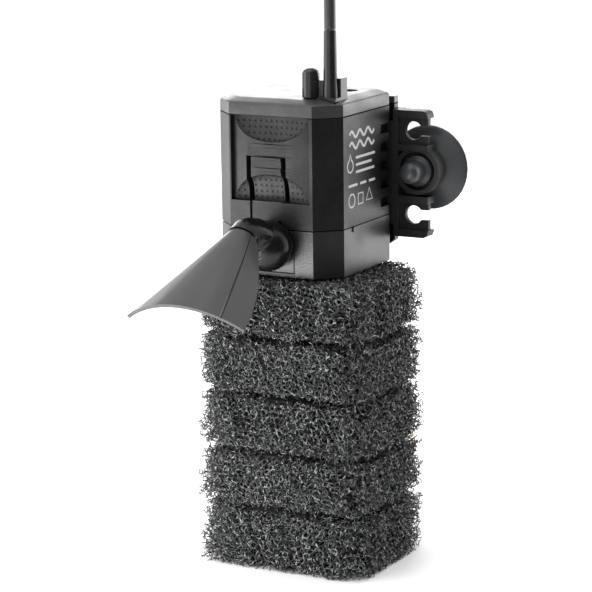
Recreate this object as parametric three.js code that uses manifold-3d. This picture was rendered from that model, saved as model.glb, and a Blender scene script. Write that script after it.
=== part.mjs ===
// Internal power filter for an aquarium: a motor head with a sealed wet rotor, a pump chamber with a
// swivelling outlet and fan nozzle, a grooved foam block on the intake, and a suction-cup holder.
// Millimetres, +Z up. The front (outlet side) faces -Y, the holder is at the back, on the +X side.
// The origin is on the floor, under the centre of the motor head.

import * as THREE from 'three';
import { mergeVertices } from 'three/addons/utils/BufferGeometryUtils.js';
import Module from 'manifold-3d';

const wasm = await Module();
wasm.setup();

// ---- driving dimensions -------------------------------------------------------------------------

const gap = 0.3;
const body = { width: 46, depth: 44, chamfer: 7.6, rearRadius: 3, wall: 2.6 };
const level = { casing: 100, seam: 116, parting: 153, band: 157, top: 158.6 };
const front = -body.depth / 2;
const back = body.depth / 2;
const rotorAxis = { x: 0, y: -2 };

const foam = { left: -27, right: 36, front: -29.2, back: 21.8, height: 100, corner: 2.5 };
const groove = { centres: [21, 40.3, 59.8, 79.4], depth: 6.5, half: 0.9, flare: 0.7 };
const foamBore = { radius: 8.9, floor: 18 };

const grip = { left: -14.9, right: 14.3, bottom: 124.6, bow: 1.5, waist: 0.45, ribs: [135.2, 139.1, 143.1],
  ribHalf: 0.75, ribBevel: 0.25, scoopDepth: 3, scoopRise: [9.2, 8.6], scoopInset: 0.4, scoopSink: 0.37 };
const latch = { left: -7.6, right: 3.6, top: 139.6, bottom: 118.4, slot: 1.8, recess: 0.7, back: -17.3,
  tabBack: -18.1, hook: [-18.4, -17.6] };
const latchHollow = -15.6;
const motorFront = -14.4;
const cavityFloor = 119.6;
const casingTop = level.seam - 0.35;
const hookSeat = [[latch.left + 2.6, latch.right - 2.6], [-18.7, -15.2], [112.8, 120]];
const hookBlock = [[latch.left + 3, latch.right - 3], latch.hook, [114.2, grip.bottom + 0.1]];
// The cover's rounded skin, as [inset, height].
const coverSkin = [[0, level.parting], [0, level.band - 0.6], [0.2, level.band], [0.7, level.band + 0.4],
  [3.6, level.top - 0.1], [4.2, level.top]];
const coverRim = { outer: body.wall + 1, inner: body.wall + 2.4, bottom: 151.2, top: 156.2, ceiling: 156 };

const insert = { left: -6.5, right: 8.5, bottom: 101.2, back: -18.4 };
const port = new THREE.Vector3(1, -26.2, 110.9);
const ballRadius = 8.4;
const mouth = new THREE.Vector3(-2, -37.6, 115.2);
const fanYaw = THREE.MathUtils.degToRad(4);
const fanPitch = THREE.MathUtils.degToRad(32.5);
const fan = { start: 0.5, length: 40, neckWidth: 5.4, rimWidth: 22.6, neckArch: 4.6, rimArch: 7.8, wall: 1.3,
  spread: 0.85, strips: 14, rings: 8, line: 0.645, lineHalf: 0.018, lineDepth: 0.4, bulge: 0.13 };

const rail = { half: 22.6, neck: 18.4, front: 24.6, back: 27.4, bottom: 104, top: 155.4 };
const notch = { count: 5, pitch: 6.2, middle: 133.1, height: 3.2, front: 13, depth: 2.4 };
const holder = { middle: 129.4, wall: [23, 24.9], tip: 36, front: 22.4, back: 27.6, top: 151.1, bottom: 107.7 };
const holderRibs = [[107.7, 110.3], [119.4, 121.9], [137.2, 139.4], [148.5, 151.1]];
const keyhole = { x: 29.9, levels: [115.3, 144.1], radius: 3.15, throat: 1.75 };
const eye = { x: 31.7, z: 130.6, outer: 8.2, inner: 6.5 };
const cup = { radius: 14.5, glass: 33 };

const cord = { radius: 1.9, sides: 8 };
const cordExit = new THREE.Vector3(17.4, -12.4, 181.3);
const cordDrop = { x: -5.6, y: 32 };
const coil = { x: -21.5, y: 54.5, radius: 22.5, pitch: 3.95, rows: 2, layers: 4, floor: 1.2, enter: -107,
  leave: 165, tie: 60 };
const plug = { start: 16, axis: 7.2, length: 34, cut: 0.45, pinRadius: 2, pinLength: 19, pinSpacing: 18.6,
  pinSeat: 6 };

// Turned parts and bores, as [radius, height] outlines about an upright axis.
const outlines = {
  peg: [[0, 157.3], [2, 157.3], [2, 158.8], [2.9, 158.8], [2.9, 166.6], [2.5, 167.7], [1.5, 168.4], [0, 168.6]],
  collar: [[0, 157], [2.5, 157], [2.5, 160.5], [2.3, 164.6], [2.2, 172], [2.05, 180.6], [1.9, 181], [0, 181]],
  rotorWell: [[8, 116.4], [14.2, 116.4], [14.2, 117.8], [9.3, 117.8], [9.3, 145], [8.3, 146.1], [0, 146.1],
    [0, 144.8], [3.4, 144.8], [3.4, 142], [8, 142], [8, 116.4]],
  strainer: [[5.2, 99.6], [6.5, 99.6], [6.5, 56], [5.6, 54.6], [0, 54.6], [0, 56], [5.2, 56], [5.2, 99.6]],
  upperBush: tube(1.3, 3.2, 142.2, 144.6),
  lowerBush: tube(1.3, 2.2, 102.6, 104.8),
  shaft: disc(1.1, 102.8, 144.4),
  magnet: tube(2.7, 6.8, 120.6, 141.4),
  hub: tube(1.4, 3.4, 105.4, 113.6),
  stem: tube(1.4, 2.5, 113.4, 141.4),
  shroud: tube(3.1, 9.6, 112, 113.4),
  magnetSeat: tube(2.3, 5.6, 118.6, 120.3),
  wellHole: disc(9.7, 110, 125),
  flangeSeat: disc(14.5, 110, 118.1),
  statorBore: disc(9.9, 120, 138),
  spigot: tube(6.8, 8.5, 91.5, 100.5),
  chamber: disc(10.8, 104.6, 120),
  sealGroove: tube(12.3, 14.3, 114, 120),
  eyeHole: disc(5.4, 90, 105),
  boss: disc(3.4, 100.6, 104.4),
  bushSeat: disc(2.4, 102.4, 106),
};

// Straight-sided parts and cut-outs, as their x, y and z spans.
const spans = {
  glandHole: [[13.5, 20.9], [-15.8, -6.3], [150, 160]],
  glandFoot: [[13.8, 20.6], [-15, -6.6], [156.9, 159.1]],
  glandClamp: [[17, 20.6], [-11.2, -6.6], [159, 165.2]],
  glandBridge: [[13.8, 17.5], [-13.4, -10.6], [159, 164.6]],
  stator: [[-16, 16], [-13.8, 16], [122, 136]],
  statorWindow: [[-11, 11], [8.3, 11.5], [120, 140]],
  poleSplit: [[-1, 1], [-15, -10], [120, 140]],
  yokeTunnel: [[-20, 20], [11.2, 16.3], [121.7, 136.3]],
  bobbinSleeve: [[-10.6, 10.6], [10.3, 17.2], [120.8, 137.2]],
  bobbinCheeks: [[[-10.6, -9.4], [8.6, 18.7], [119.8, 138.9]], [[9.4, 10.6], [8.6, 18.7], [119.8, 138.9]]],
  winding: [[-9.2, 9.2], [8.7, 18.6], [119.9, 138.6]],
  windingHole: [[-10, 10], [10.1, 17.4], [120.6, 137.4]],
  outletChannel: [[-3.4, 5.4], [-24, -9], [105.4, 113.4]],
};
const pegPlace = { x: 10.6, y: -13.2, holeRadius: 2.3 };
const coverDimple = { x: 12.6, y: 9.6, radius: 3.4, floor: 157.1 };
const sealRing = { radius: 13.3, section: 0.8, height: 115.1 };
const blade = { count: 5, length: 6.4, thickness: 1.1, height: 6.8, reach: 6.2, middle: 108.9 };
const spoke = { length: 11.6, width: 1.8, height: 3.2, middle: 102.2 };
const intakeSlot = { rows: 3, around: 4, width: 2.2, height: 8, lowest: 62.5, pitch: 10.5 };
const resin = { inset: 0.9, levels: [146.4, 150.8] };
const elbow = {
  path: [[1, -24.2, 110.9], [0.6, -29.2, 112.9], [-0.8, -32.4, 115.4]],
  radii: [6.4, 6, 5.4, 5],
  duct: 3.3,
  keeper: [[0.4, 1.8], [-37.6, -34.4], [109.4, 112.4]],
};
const spigot = { outer: 4.4, bore: 3.3, seat: 4.7, tip: -26, seatEnd: -26.4 };
const fanNeck = { outer: 3.9, bore: 3, seat: 4.2, inside: 4.8, clear: 9 };
const holderSpine = { back: 29.1, rearLip: 18, frontLip: 19.2, lipShort: 4, web: [24.2, 26.2], webShort: 0.6,
  webInto: 0.5, endCorner: 1.8, innerCorner: 0.5 };
const eyeWeb = { wells: [25.3, 26.7], hole: 3.7, inset: 0.3 };
const cupOutline = [[0, 14.8], [2, 15.1], [3.2, 16], [3.7, 17.4], [3.7, 22.2], [5.3, 22.9], [5.3, 25.1],
  [3.4, 25.1], [3.4, 26.9], [5.8, 27.5], [6.3, 29.4], [10, 30.4], [13.2, 31.6], [cup.radius, 32.3],
  [cup.radius, cup.glass], [cup.radius - 1.2, cup.glass], [9, 31.6], [4, 30.4], [0, 30.1]];
// The lead: over the back as [share of the arch, height], then down to the coil as [degrees, radius, height].
const leadArch = [[0, 181.3], [0, 186], [0.02, 194], [0.12, 204], [0.29, 211], [0.5, 213.5], [0.71, 211],
  [0.88, 204], [0.98, 194], [1, 182], [1, 150], [1, 115], [1, 80], [1, 50]];
const leadIn = [[-55.5, 27.4, 34], [-62, 27, 25], [-74, 26.1, 18.9], [-90, 25, 15.7]];
const tailRise = [[5, 3.7], [11, 6.4]];
const tie = { thickness: 1, inside: 1.6, outside: 0.6, above: 0.4, under: [0.1, 0.9], width: 5 };
// The plug's body as [distance along it, half width, half thickness].
const plugSections = [[0, 2.6, 2.6], [8, 4, 4], [10, 7.5, 5.6], [20, 16.5, 6.5], [29, 16.5, 6.5], [34, 11, 5.9]];
const pryNub = { y: [-8.2, -6.6], proud: 0.45, bottom: 114.1 };

// ---- solids -------------------------------------------------------------------------------------

// A closed geometry as a manifold solid, with shared corners merged and its faces turned outwards.
function solid(geometry) {
  const bare = geometry.clone();
  bare.deleteAttribute('normal');
  bare.deleteAttribute('uv');
  const merged = mergeVertices(bare, 1e-4);
  const points = Float32Array.from(merged.attributes.position.array);
  const corners = merged.index.array;
  const triangles = [];
  let volume = 0;
  for (let i = 0; i < corners.length; i += 3) {
    const [a, b, c] = [corners[i], corners[i + 1], corners[i + 2]];
    if (a === b || b === c || c === a) continue;
    triangles.push([a, b, c]);
    const [p, q, r] = [a, b, c].map((k) => new THREE.Vector3().fromArray(points, 3 * k));
    volume += p.dot(q.cross(r));
  }
  const order = volume > 0 ? triangles : triangles.map(([a, b, c]) => [a, c, b]);
  const mesh = new wasm.Mesh({ numProp: 3, vertProperties: points, triVerts: Uint32Array.from(order.flat()) });
  return new wasm.Manifold(mesh);
}

function geometryOf(manifold) {
  const mesh = manifold.getMesh();
  const geometry = new THREE.BufferGeometry();
  geometry.setAttribute('position', new THREE.BufferAttribute(mesh.vertProperties, 3));
  geometry.setIndex(new THREE.BufferAttribute(mesh.triVerts, 1));
  geometry.computeVertexNormals();
  return geometry;
}

const union = (first, ...others) => others.reduce((sum, part) => sum.add(part), first);
const minus = (first, ...others) => others.reduce((rest, part) => rest.subtract(part), first);

function block(x, y, z) {
  const box = new THREE.BoxGeometry(x[1] - x[0], y[1] - y[0], z[1] - z[0]);
  box.translate((x[0] + x[1]) / 2, (y[0] + y[1]) / 2, (z[0] + z[1]) / 2);
  return solid(box);
}

const outlineShape = (points) => new THREE.Shape(points.map(([x, y]) => new THREE.Vector2(x, y)));

// An outline in XY, raised from z0 to z1.
function prism(points, z0, z1) {
  const geometry = new THREE.ExtrudeGeometry(outlineShape(points), { depth: z1 - z0, bevelEnabled: false });
  return solid(geometry.translate(0, 0, z0));
}

// An outline in (y, z), drawn out along X from x0 to x1.
function prismAlongX(points, x0, x1) {
  const geometry = new THREE.ExtrudeGeometry(outlineShape(points), { depth: x1 - x0, bevelEnabled: false });
  const turn = new THREE.Matrix4().set(0, 0, 1, x0, 1, 0, 0, 0, 0, 1, 0, 0, 0, 0, 0, 1);
  return solid(geometry.applyMatrix4(turn));
}

// An outline in (x, z), drawn out along Y from y0 to y1.
function prismAlongY(points, y0, y1) {
  const geometry = new THREE.ExtrudeGeometry(outlineShape(points), { depth: y1 - y0, bevelEnabled: false });
  const turn = new THREE.Matrix4().set(1, 0, 0, 0, 0, 0, 1, y0, 0, 1, 0, 0, 0, 0, 0, 1);
  return solid(geometry.applyMatrix4(turn));
}

// A profile of [radius, height] points turned about a vertical axis through (x, y).
function turned(profile, x = 0, y = 0, segments = 32) {
  const points = profile.map(([r, h]) => new THREE.Vector2(r, h));
  const geometry = new THREE.LatheGeometry(points, segments);
  return solid(geometry.rotateX(Math.PI / 2).translate(x, y, 0));
}

// A profile of [radius, y] points turned about an axis along Y through (x, z).
function turnedAlongY(profile, x, z, segments = 32) {
  const points = profile.map(([r, h]) => new THREE.Vector2(r, h));
  return solid(new THREE.LatheGeometry(points, segments).translate(x, 0, z));
}

function disc(radius, z0, z1) {
  return [[0, z0], [radius, z0], [radius, z1], [0, z1]];
}

function tube(inner, outer, z0, z1) {
  return [[inner, z0], [outer, z0], [outer, z1], [inner, z1], [inner, z0]];
}

// A named outline turned about the rotor's axis.
const aboutRotor = (name, segments = 32) => turned(outlines[name], rotorAxis.x, rotorAxis.y, segments);
const spanned = (name) => block(...spans[name]);

// The faces between rings of equally many points, each ring joined to the next.
function sideFaces(rings) {
  const count = rings[0].length;
  const faces = [];
  for (let r = 0; r + 1 < rings.length; r += 1) {
    for (let k = 0; k < count; k += 1) {
      const a = r * count + k;
      const b = r * count + ((k + 1) % count);
      faces.push([a, b, b + count], [a, b + count, a + count]);
    }
  }
  return faces;
}

function skin(points, faces) {
  const geometry = new THREE.BufferGeometry();
  geometry.setAttribute('position', new THREE.Float32BufferAttribute(points.flatMap((p) => p.toArray()), 3));
  geometry.setIndex(faces.flat());
  return solid(geometry);
}

// A closed skin through rings of points, its two ends capped from their middles.
function loft(rings) {
  const count = rings[0].length;
  const faces = sideFaces(rings);
  const middleOf = (ring) => ring.reduce((sum, p) => sum.add(p), new THREE.Vector3()).divideScalar(count);
  const points = [...rings.flat(), middleOf(rings[0]), middleOf(rings[rings.length - 1])];
  const start = rings.length * count;
  const last = (rings.length - 1) * count;
  for (let k = 0; k < count; k += 1) {
    const next = (k + 1) % count;
    faces.push([start, next, k], [start + 1, last + k, last + next]);
  }
  return skin(points, faces);
}

// A closed skin through rings that fold back on themselves, with each end capped as a strip.
function loftStrip(rings) {
  const count = rings[0].length;
  const half = count / 2;
  const faces = sideFaces(rings);
  const last = (rings.length - 1) * count;
  for (let k = 0; k + 1 < half; k += 1) {
    const [a, b, c, d] = [k, k + 1, count - 2 - k, count - 1 - k];
    faces.push([a, c, b], [a, d, c], [last + a, last + b, last + c], [last + a, last + c, last + d]);
  }
  return skin(rings.flat(), faces);
}

// Round sections of changing radius along a smooth curve.
function hose(points, radii, steps, sides) {
  const curve = new THREE.CatmullRomCurve3(points);
  const side = new THREE.Vector3(1, 0, 0);
  const rings = [];
  for (let i = 0; i <= steps; i += 1) {
    const t = i / steps;
    const along = curve.getTangent(t);
    const up = side.clone().cross(along).normalize();
    const right = along.clone().cross(up).normalize();
    const place = t * (radii.length - 1);
    const k = Math.min(Math.floor(place), radii.length - 2);
    const radius = THREE.MathUtils.lerp(radii[k], radii[k + 1], place - k);
    const ring = [];
    for (let s = 0; s < sides; s += 1) {
      const angle = (2 * Math.PI * s) / sides;
      ring.push(curve.getPoint(t).addScaledVector(right, radius * Math.cos(angle))
        .addScaledVector(up, radius * Math.sin(angle)));
    }
    rings.push(ring);
  }
  return loft(rings);
}

function arc(cx, cy, radius, from, to, steps) {
  const points = [];
  for (let i = 0; i <= steps; i += 1) {
    const angle = THREE.MathUtils.degToRad(from + ((to - from) * i) / steps);
    points.push([cx + radius * Math.cos(angle), cy + radius * Math.sin(angle)]);
  }
  return points;
}

// ---- the set of named parts ---------------------------------------------------------------------

const filter = new THREE.Group();
filter.name = 'internal_power_filter';

const finish = {
  casing: [0x1c1d1f, 0.45],
  cover: [0x2b2c2e, 0.38],
  gloss: [0x0f1012, 0.14],
  rubber: [0x3b3e41, 0.55],
  softBlack: [0x17181a, 0.7],
  foam: [0x26282a, 0.95],
  steel: [0x8d9094, 0.4, 0.9],
  brass: [0xb9a878, 0.35, 0.9],
  copper: [0x9a5a33, 0.4, 0.8],
  nylon: [0xd9d6cc, 0.5],
  ceramic: [0xe9e7e1, 0.25],
  ferrite: [0x3a3a3d, 0.6],
  resin: [0x24262b, 0.35],
};

function add(name, shape, kind) {
  const [color, roughness, metalness = 0] = finish[kind];
  const material = new THREE.MeshStandardMaterial({ color, roughness, metalness });
  const mesh = new THREE.Mesh(geometryOf(shape), material);
  mesh.name = name;
  filter.add(mesh);
}

// ---- motor head ---------------------------------------------------------------------------------

// The head's plan: flat front with two chamfers, round rear corners; inset moves every side inwards.
function bodyPlan(inset = 0) {
  const w = body.width / 2 - inset;
  const d = body.depth / 2 - inset;
  const c = body.chamfer - inset * (2 - Math.SQRT2);
  const r = Math.max(body.rearRadius - inset, 0.6);
  return [[-w + c, -d], [w - c, -d], [w, -d + c], ...arc(w - r, d - r, r, 0, 90, 4),
    ...arc(-w + r, d - r, r, 90, 180, 4), [-w, -d + c]];
}

const planRing = (inset, z) => bodyPlan(inset).map(([x, y]) => new THREE.Vector3(x, y, z));

// The finger grip's side profile: a low wall with three ribs across it.
function gripProfile() {
  const { bottom, waist, ribHalf, ribBevel } = grip;
  const back = front + 9;
  const ribs = grip.ribs.flatMap((z) => [[front + waist, z - ribHalf], [front, z - ribHalf + ribBevel],
    [front, z + ribHalf - ribBevel], [front + waist, z + ribHalf]]);
  return [[back, bottom], [front + waist, bottom], ...ribs, [front + waist, level.parting], [back, level.parting]];
}

// A finger's scoop: half of a flattened ball, cut into the grip from its upper or its lower end.
function gripScoop(z, rise) {
  const { left, right, scoopDepth, scoopInset, scoopSink } = grip;
  const ball = new THREE.SphereGeometry(1, 40, 20).rotateX(Math.PI / 2);
  ball.scale((right - left) / 2 - scoopInset, scoopDepth, rise);
  return solid(ball.translate((left + right) / 2, front + scoopSink, z));
}

// The front wall's relief: the grip is bowed, so its ends fall back towards the sides, with a scoop at each end.
function gripRelief() {
  const { left, right, bottom, bow, scoopDepth, scoopSink } = grip;
  const half = (right - left) / 2;
  const radius = (half * half + bow * bow) / (2 * bow);
  const barrel = turned(disc(radius, bottom - 1, level.parting + 1), (left + right) / 2, front + radius, 240);
  const kept = prismAlongX(gripProfile(), left - 1, right + 1).intersect(barrel);
  const window = block([left, right], [front - 1, front + scoopSink + scoopDepth + 0.1],
    [bottom, level.parting + 1]);
  const scoops = union(gripScoop(bottom, grip.scoopRise[0]), gripScoop(level.parting, grip.scoopRise[1]));
  const wall = block([left, right], [front - 1, front + bow + 0.2], [bottom, level.parting + 1]);
  return union(wall.subtract(kept), scoops.intersect(window));
}

function headBlank() {
  return prism(bodyPlan(), level.seam, level.parting).subtract(gripRelief());
}

function railSolid(bottom, top) {
  const plate = prismAlongY([[-rail.half, bottom + 2], [-rail.half + 3, bottom], [rail.half - 3, bottom],
    [rail.half, bottom + 2], [rail.half, top], [-rail.half, top]], rail.front, rail.back);
  const neck = block([-rail.neck, rail.neck], [back + gap, rail.front + 0.5], [bottom + 2, top]);
  return plate.add(neck);
}

// The room inside the head, from behind the finger grip backwards.
const behindGrip = block([-30, 30], [motorFront + gap, 30], [100, 160]);

function buildHeadShell() {
  const cavity = prism(bodyPlan(body.wall + 0.6), cavityFloor, level.parting + 1)
    .intersect(block([-30, 30], [motorFront, 30], [100, 160]));
  const slots = block([latch.left - latch.slot, latch.right + latch.slot], [front - 1, latchHollow],
    [grip.bottom, latch.top]);
  const tabSlot = block([latch.left - gap, latch.right + gap], [front - 1, latchHollow],
    [level.seam - 1, grip.bottom + 0.1]);
  const wellHole = aboutRotor('wellHole');
  const flangeSeat = aboutRotor('flangeSeat');
  const notches = [];
  for (let i = 0; i < notch.count; i += 1) {
    const z = notch.middle + (i - (notch.count - 1) / 2) * notch.pitch;
    notches.push(block([body.width / 2 - notch.depth, body.width / 2 + 1], [notch.front, back + 0.1],
      [z - notch.height / 2, z + notch.height / 2]));
  }
  const root = block([-rail.neck, rail.neck], [back - 1, back + 1], [level.seam, level.parting]);
  const shell = union(headBlank(), root, railSolid(rail.bottom, level.parting));
  add('motor_head_shell', minus(shell, cavity, slots, tabSlot, wellHole, flangeSeat, ...notches), 'casing');
}

function buildLatch() {
  const tongue = headBlank().intersect(block([latch.left, latch.right], [front - 1, latch.back],
    [grip.bottom + 0.01, latch.top - gap]));
  const tab = block([latch.left, latch.right], [front + latch.recess, latch.tabBack],
    [latch.bottom, grip.bottom + 0.1]);
  add('release_latch_tongue', union(tongue, tab, block(...hookBlock)), 'casing');
}

function buildCover() {
  const skinned = loft(coverSkin.map(([inset, z]) => planRing(inset, z)));
  const inside = prism(bodyPlan(body.wall), level.parting - 1, coverRim.ceiling);
  const rim = prism(bodyPlan(coverRim.outer), coverRim.bottom, coverRim.top)
    .subtract(prism(bodyPlan(coverRim.inner), coverRim.bottom - 1, coverRim.ceiling - 0.1)).intersect(behindGrip);
  const railCap = railSolid(level.parting - 2, rail.top)
    .intersect(block([-30, 30], [0, 40], [level.parting, rail.top]));
  const capRoot = block([-rail.neck, rail.neck], [back - 1.5, back + 1], [level.parting, rail.top - 0.6]);
  const pegHole = turned(disc(pegPlace.holeRadius, 150, 160), pegPlace.x, pegPlace.y, 20);
  const { x, y, radius, floor } = coverDimple;
  const dimple = turned(disc(radius, floor, 160), x, y, 24);
  const whole = union(skinned.subtract(inside), rim, railCap, capRoot);
  add('top_cover', minus(whole, spanned('glandHole'), pegHole, dimple), 'cover');
}

function buildTopFittings() {
  add('hose_parking_peg', turned(outlines.peg, pegPlace.x, pegPlace.y, 24), 'gloss');
  const collar = turned(outlines.collar, cordExit.x, cordExit.y, 20);
  const clamp = union(spanned('glandFoot'), spanned('glandClamp'), spanned('glandBridge'));
  add('cord_gland', clamp.add(collar), 'softBlack');
}

// ---- motor --------------------------------------------------------------------------------------

function buildStator() {
  const core = minus(spanned('stator'), aboutRotor('statorBore'), spanned('statorWindow'), spanned('poleSplit'));
  add('stator_core', core, 'steel');
  const cheeks = spans.bobbinCheeks.map((cheek) => block(...cheek));
  add('coil_bobbin', union(spanned('bobbinSleeve'), ...cheeks).subtract(spanned('yokeTunnel')), 'nylon');
  add('coil_winding', spanned('winding').subtract(spanned('windingHole')), 'copper');
  const potted = prism(bodyPlan(body.wall + resin.inset), ...resin.levels);
  add('potting_resin', potted.intersect(behindGrip), 'resin');
}

function buildRotorWell() {
  add('rotor_well', aboutRotor('rotorWell', 40), 'casing');
  add('upper_shaft_bush', aboutRotor('upperBush', 20), 'rubber');
  add('lower_shaft_bush', aboutRotor('lowerBush', 20), 'rubber');
  add('ceramic_shaft', aboutRotor('shaft', 16), 'ceramic');
}

function buildRotor() {
  add('rotor_magnet', aboutRotor('magnet'), 'ferrite');
  const blades = Array.from({ length: blade.count }, (_, i) => {
    const box = new THREE.BoxGeometry(blade.length, blade.thickness, blade.height);
    box.translate(blade.reach, 0, blade.middle).rotateZ((2 * Math.PI * i) / blade.count);
    return solid(box.translate(rotorAxis.x, rotorAxis.y, 0));
  });
  const hub = union(aboutRotor('hub', 24), aboutRotor('stem', 24), aboutRotor('shroud', 36));
  add('impeller', union(hub, aboutRotor('magnetSeat', 24), ...blades), 'nylon');
}

// ---- pump chamber and intake --------------------------------------------------------------------

function buildLowerCasing() {
  const blank = prism(bodyPlan(), level.casing, casingTop);
  const spokes = [0, 90].map((turn) => {
    const bar = new THREE.BoxGeometry(spoke.length, spoke.width, spoke.height);
    bar.rotateZ(THREE.MathUtils.degToRad(turn));
    return solid(bar.translate(rotorAxis.x, rotorAxis.y, spoke.middle));
  });
  const insertSeat = block([insert.left, insert.right], [front - 1, insert.back], [insert.bottom, 120]);
  const nub = block([body.width / 2 - 1, body.width / 2 + pryNub.proud], pryNub.y, [pryNub.bottom, casingTop]);
  const hollowed = minus(union(blank, aboutRotor('spigot')), aboutRotor('chamber', 36),
    aboutRotor('sealGroove', 28), aboutRotor('eyeHole'), spanned('outletChannel'), insertSeat, block(...hookSeat));
  const whole = union(hollowed, ...spokes, aboutRotor('boss', 24), nub);
  add('lower_casing', whole.subtract(aboutRotor('bushSeat', 20)), 'casing');
  const ring = new THREE.TorusGeometry(sealRing.radius, sealRing.section, 8, 28);
  add('chamber_seal_ring', solid(ring.translate(rotorAxis.x, rotorAxis.y, sealRing.height)), 'softBlack');
}

function buildIntakeTube() {
  const slots = [];
  for (let row = 0; row < intakeSlot.rows; row += 1) {
    for (let k = 0; k < intakeSlot.around; k += 1) {
      const cutter = new THREE.BoxGeometry(16, intakeSlot.width, intakeSlot.height);
      cutter.rotateZ((Math.PI * k) / intakeSlot.around);
      const z = intakeSlot.lowest + row * intakeSlot.pitch;
      slots.push(solid(cutter.translate(rotorAxis.x, rotorAxis.y, z)));
    }
  }
  add('intake_strainer', minus(aboutRotor('strainer', 28), ...slots), 'casing');
}

// A rectangle with round corners, as a ring of points at one level.
function foamRing(inset, z) {
  const { left, right, front: near, back: far, corner } = foam;
  const r = Math.max(corner - inset * 0.4, 0.6);
  const [x0, x1, y0, y1] = [left + inset, right - inset, near + inset, far - inset];
  const corners = [[x1 - r, y1 - r, 0], [x0 + r, y1 - r, 90], [x0 + r, y0 + r, 180], [x1 - r, y0 + r, 270]];
  return corners.flatMap(([cx, cy, start]) => arc(cx, cy, r, start, start + 90, 4))
    .map(([x, y]) => new THREE.Vector3(x, y, z));
}

function buildFoam() {
  const rings = [foamRing(1.6, 0), foamRing(0, 1.6)];
  for (const z of groove.centres) {
    rings.push(foamRing(0, z - groove.half - groove.flare), foamRing(groove.depth, z - groove.half / 2));
    rings.push(foamRing(groove.depth, z + groove.half / 2), foamRing(0, z + groove.half + groove.flare));
  }
  const topGap = 0.3;
  rings.push(foamRing(0, foam.height - 1.6 - topGap), foamRing(1.6, foam.height - topGap));
  const bore = turned(disc(foamBore.radius, foamBore.floor, foam.height + 1), rotorAxis.x, rotorAxis.y, 32);
  add('filter_sponge', loft(rings).subtract(bore), 'foam');
}

// ---- outlet -------------------------------------------------------------------------------------

const fanAxis = new THREE.Vector3(-Math.sin(fanYaw) * Math.cos(fanPitch), -Math.cos(fanYaw) * Math.cos(fanPitch),
  -Math.sin(fanPitch));
const fanSide = new THREE.Vector3(Math.cos(fanYaw), -Math.sin(fanYaw), 0);
const fanUp = fanAxis.clone().cross(fanSide);
const alongFan = (distance) => mouth.clone().addScaledVector(fanAxis, distance);

function buildOutletInsert() {
  const plate = block([insert.left + gap, insert.right - gap], [front, insert.back - gap],
    [insert.bottom + gap, level.seam - 0.6]);
  const pipe = turnedAlongY(disc(spigot.outer, spigot.tip, front + 1), port.x, port.z, 28);
  const bore = turnedAlongY(disc(spigot.bore, -30, -10), port.x, port.z, 28);
  add('outlet_insert', union(plate, pipe).subtract(bore), 'casing');
}

// A round rod of one radius along the fan's axis.
function rodAlongFan(radius, from, to, sides = 24) {
  return hose([alongFan(from), alongFan((from + to) / 2), alongFan(to)], [radius, radius, radius], 2, sides);
}

function buildOutletElbow() {
  const path = [...elbow.path.map((point) => new THREE.Vector3(...point)), alongFan(-1.5), alongFan(1)];
  const ball = solid(new THREE.SphereGeometry(ballRadius, 28, 14).translate(port.x, port.y, port.z));
  const clearOfFront = block([-20, 20], [-60, front - gap], [90, 130]);
  const duct = hose(path, [elbow.duct, elbow.duct], 6, 14);
  const spigotSeat = turnedAlongY(disc(spigot.seat, spigot.seatEnd, -20), port.x, port.z, 28);
  const outside = union(ball, hose(path, elbow.radii, 8, 20), block(...elbow.keeper)).intersect(clearOfFront);
  const beyondMouth = rodAlongFan(fanNeck.clear, 0.2, 10);
  const whole = minus(outside, duct, rodAlongFan(fanNeck.seat, -5.4, 2), spigotSeat, beyondMouth);
  add('outlet_elbow', whole, 'softBlack');
}

// Where the blade's section is drawn, as shares of its half width, closer together at its mould line.
const fanShares = [...Array.from({ length: fan.strips + 1 }, (_, i) => (2 * i) / fan.strips - 1),
  fan.line - fan.lineHalf, fan.line, fan.line + fan.lineHalf].sort((a, b) => a - b);

// One side of the fan's blade: an arch across the flow that widens and flattens towards the rim.
function fanRing(t, inner) {
  const half = fan.neckWidth + (fan.rimWidth - fan.neckWidth) * t ** fan.spread;
  const arch = fan.neckArch + (fan.rimArch - fan.neckArch) * t;
  const radius = (half * half + arch * arch) / (2 * arch);
  const open = Math.asin(half / radius);
  return fanShares.map((share) => {
    const onLine = !inner && share === fan.line;
    const flank = Math.max(share - fan.line, 0) / (1 - fan.line);
    const r = radius - (inner ? fan.wall : 0) - (onLine ? fan.lineDepth : 0);
    const across = r * Math.sin(open * share) * (1 + fan.bulge * flank * Math.sin(Math.PI * t));
    const up = r * Math.cos(open * share) - (radius - arch);
    return alongFan(fan.start + fan.length * t).addScaledVector(fanSide, across).addScaledVector(fanUp, up);
  });
}

function buildFan() {
  const rings = [];
  for (let i = 0; i <= fan.rings; i += 1) {
    rings.push([...fanRing(i / fan.rings, false), ...fanRing(i / fan.rings, true).reverse()]);
  }
  const neck = rodAlongFan(fanNeck.outer, -fanNeck.inside, 5);
  const neckBore = rodAlongFan(fanNeck.bore, -6, 6, 20);
  add('fan_deflector', union(loftStrip(rings), neck).subtract(neckBore), 'gloss');
}

// ---- suction-cup holder -------------------------------------------------------------------------

// A rib from the holder's wall to its open side, with the outer corner of its tip cut off.
function holderRib([z0, z1]) {
  const { wall, tip, front: near, back: far, middle, top, bottom } = holder;
  const [outer, inner] = z0 > middle ? [z1, z0] : [z0, z1];
  const corner = [top, bottom].includes(outer) ? holderSpine.endCorner : holderSpine.innerCorner;
  const inwards = Math.sign(inner - outer) * corner;
  return prismAlongY([[wall[0], inner], [wall[0], outer], [tip - corner, outer],
    [tip - corner * 0.3, outer + inwards * 0.3], [tip, outer + inwards], [tip, inner]], near, far);
}

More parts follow.
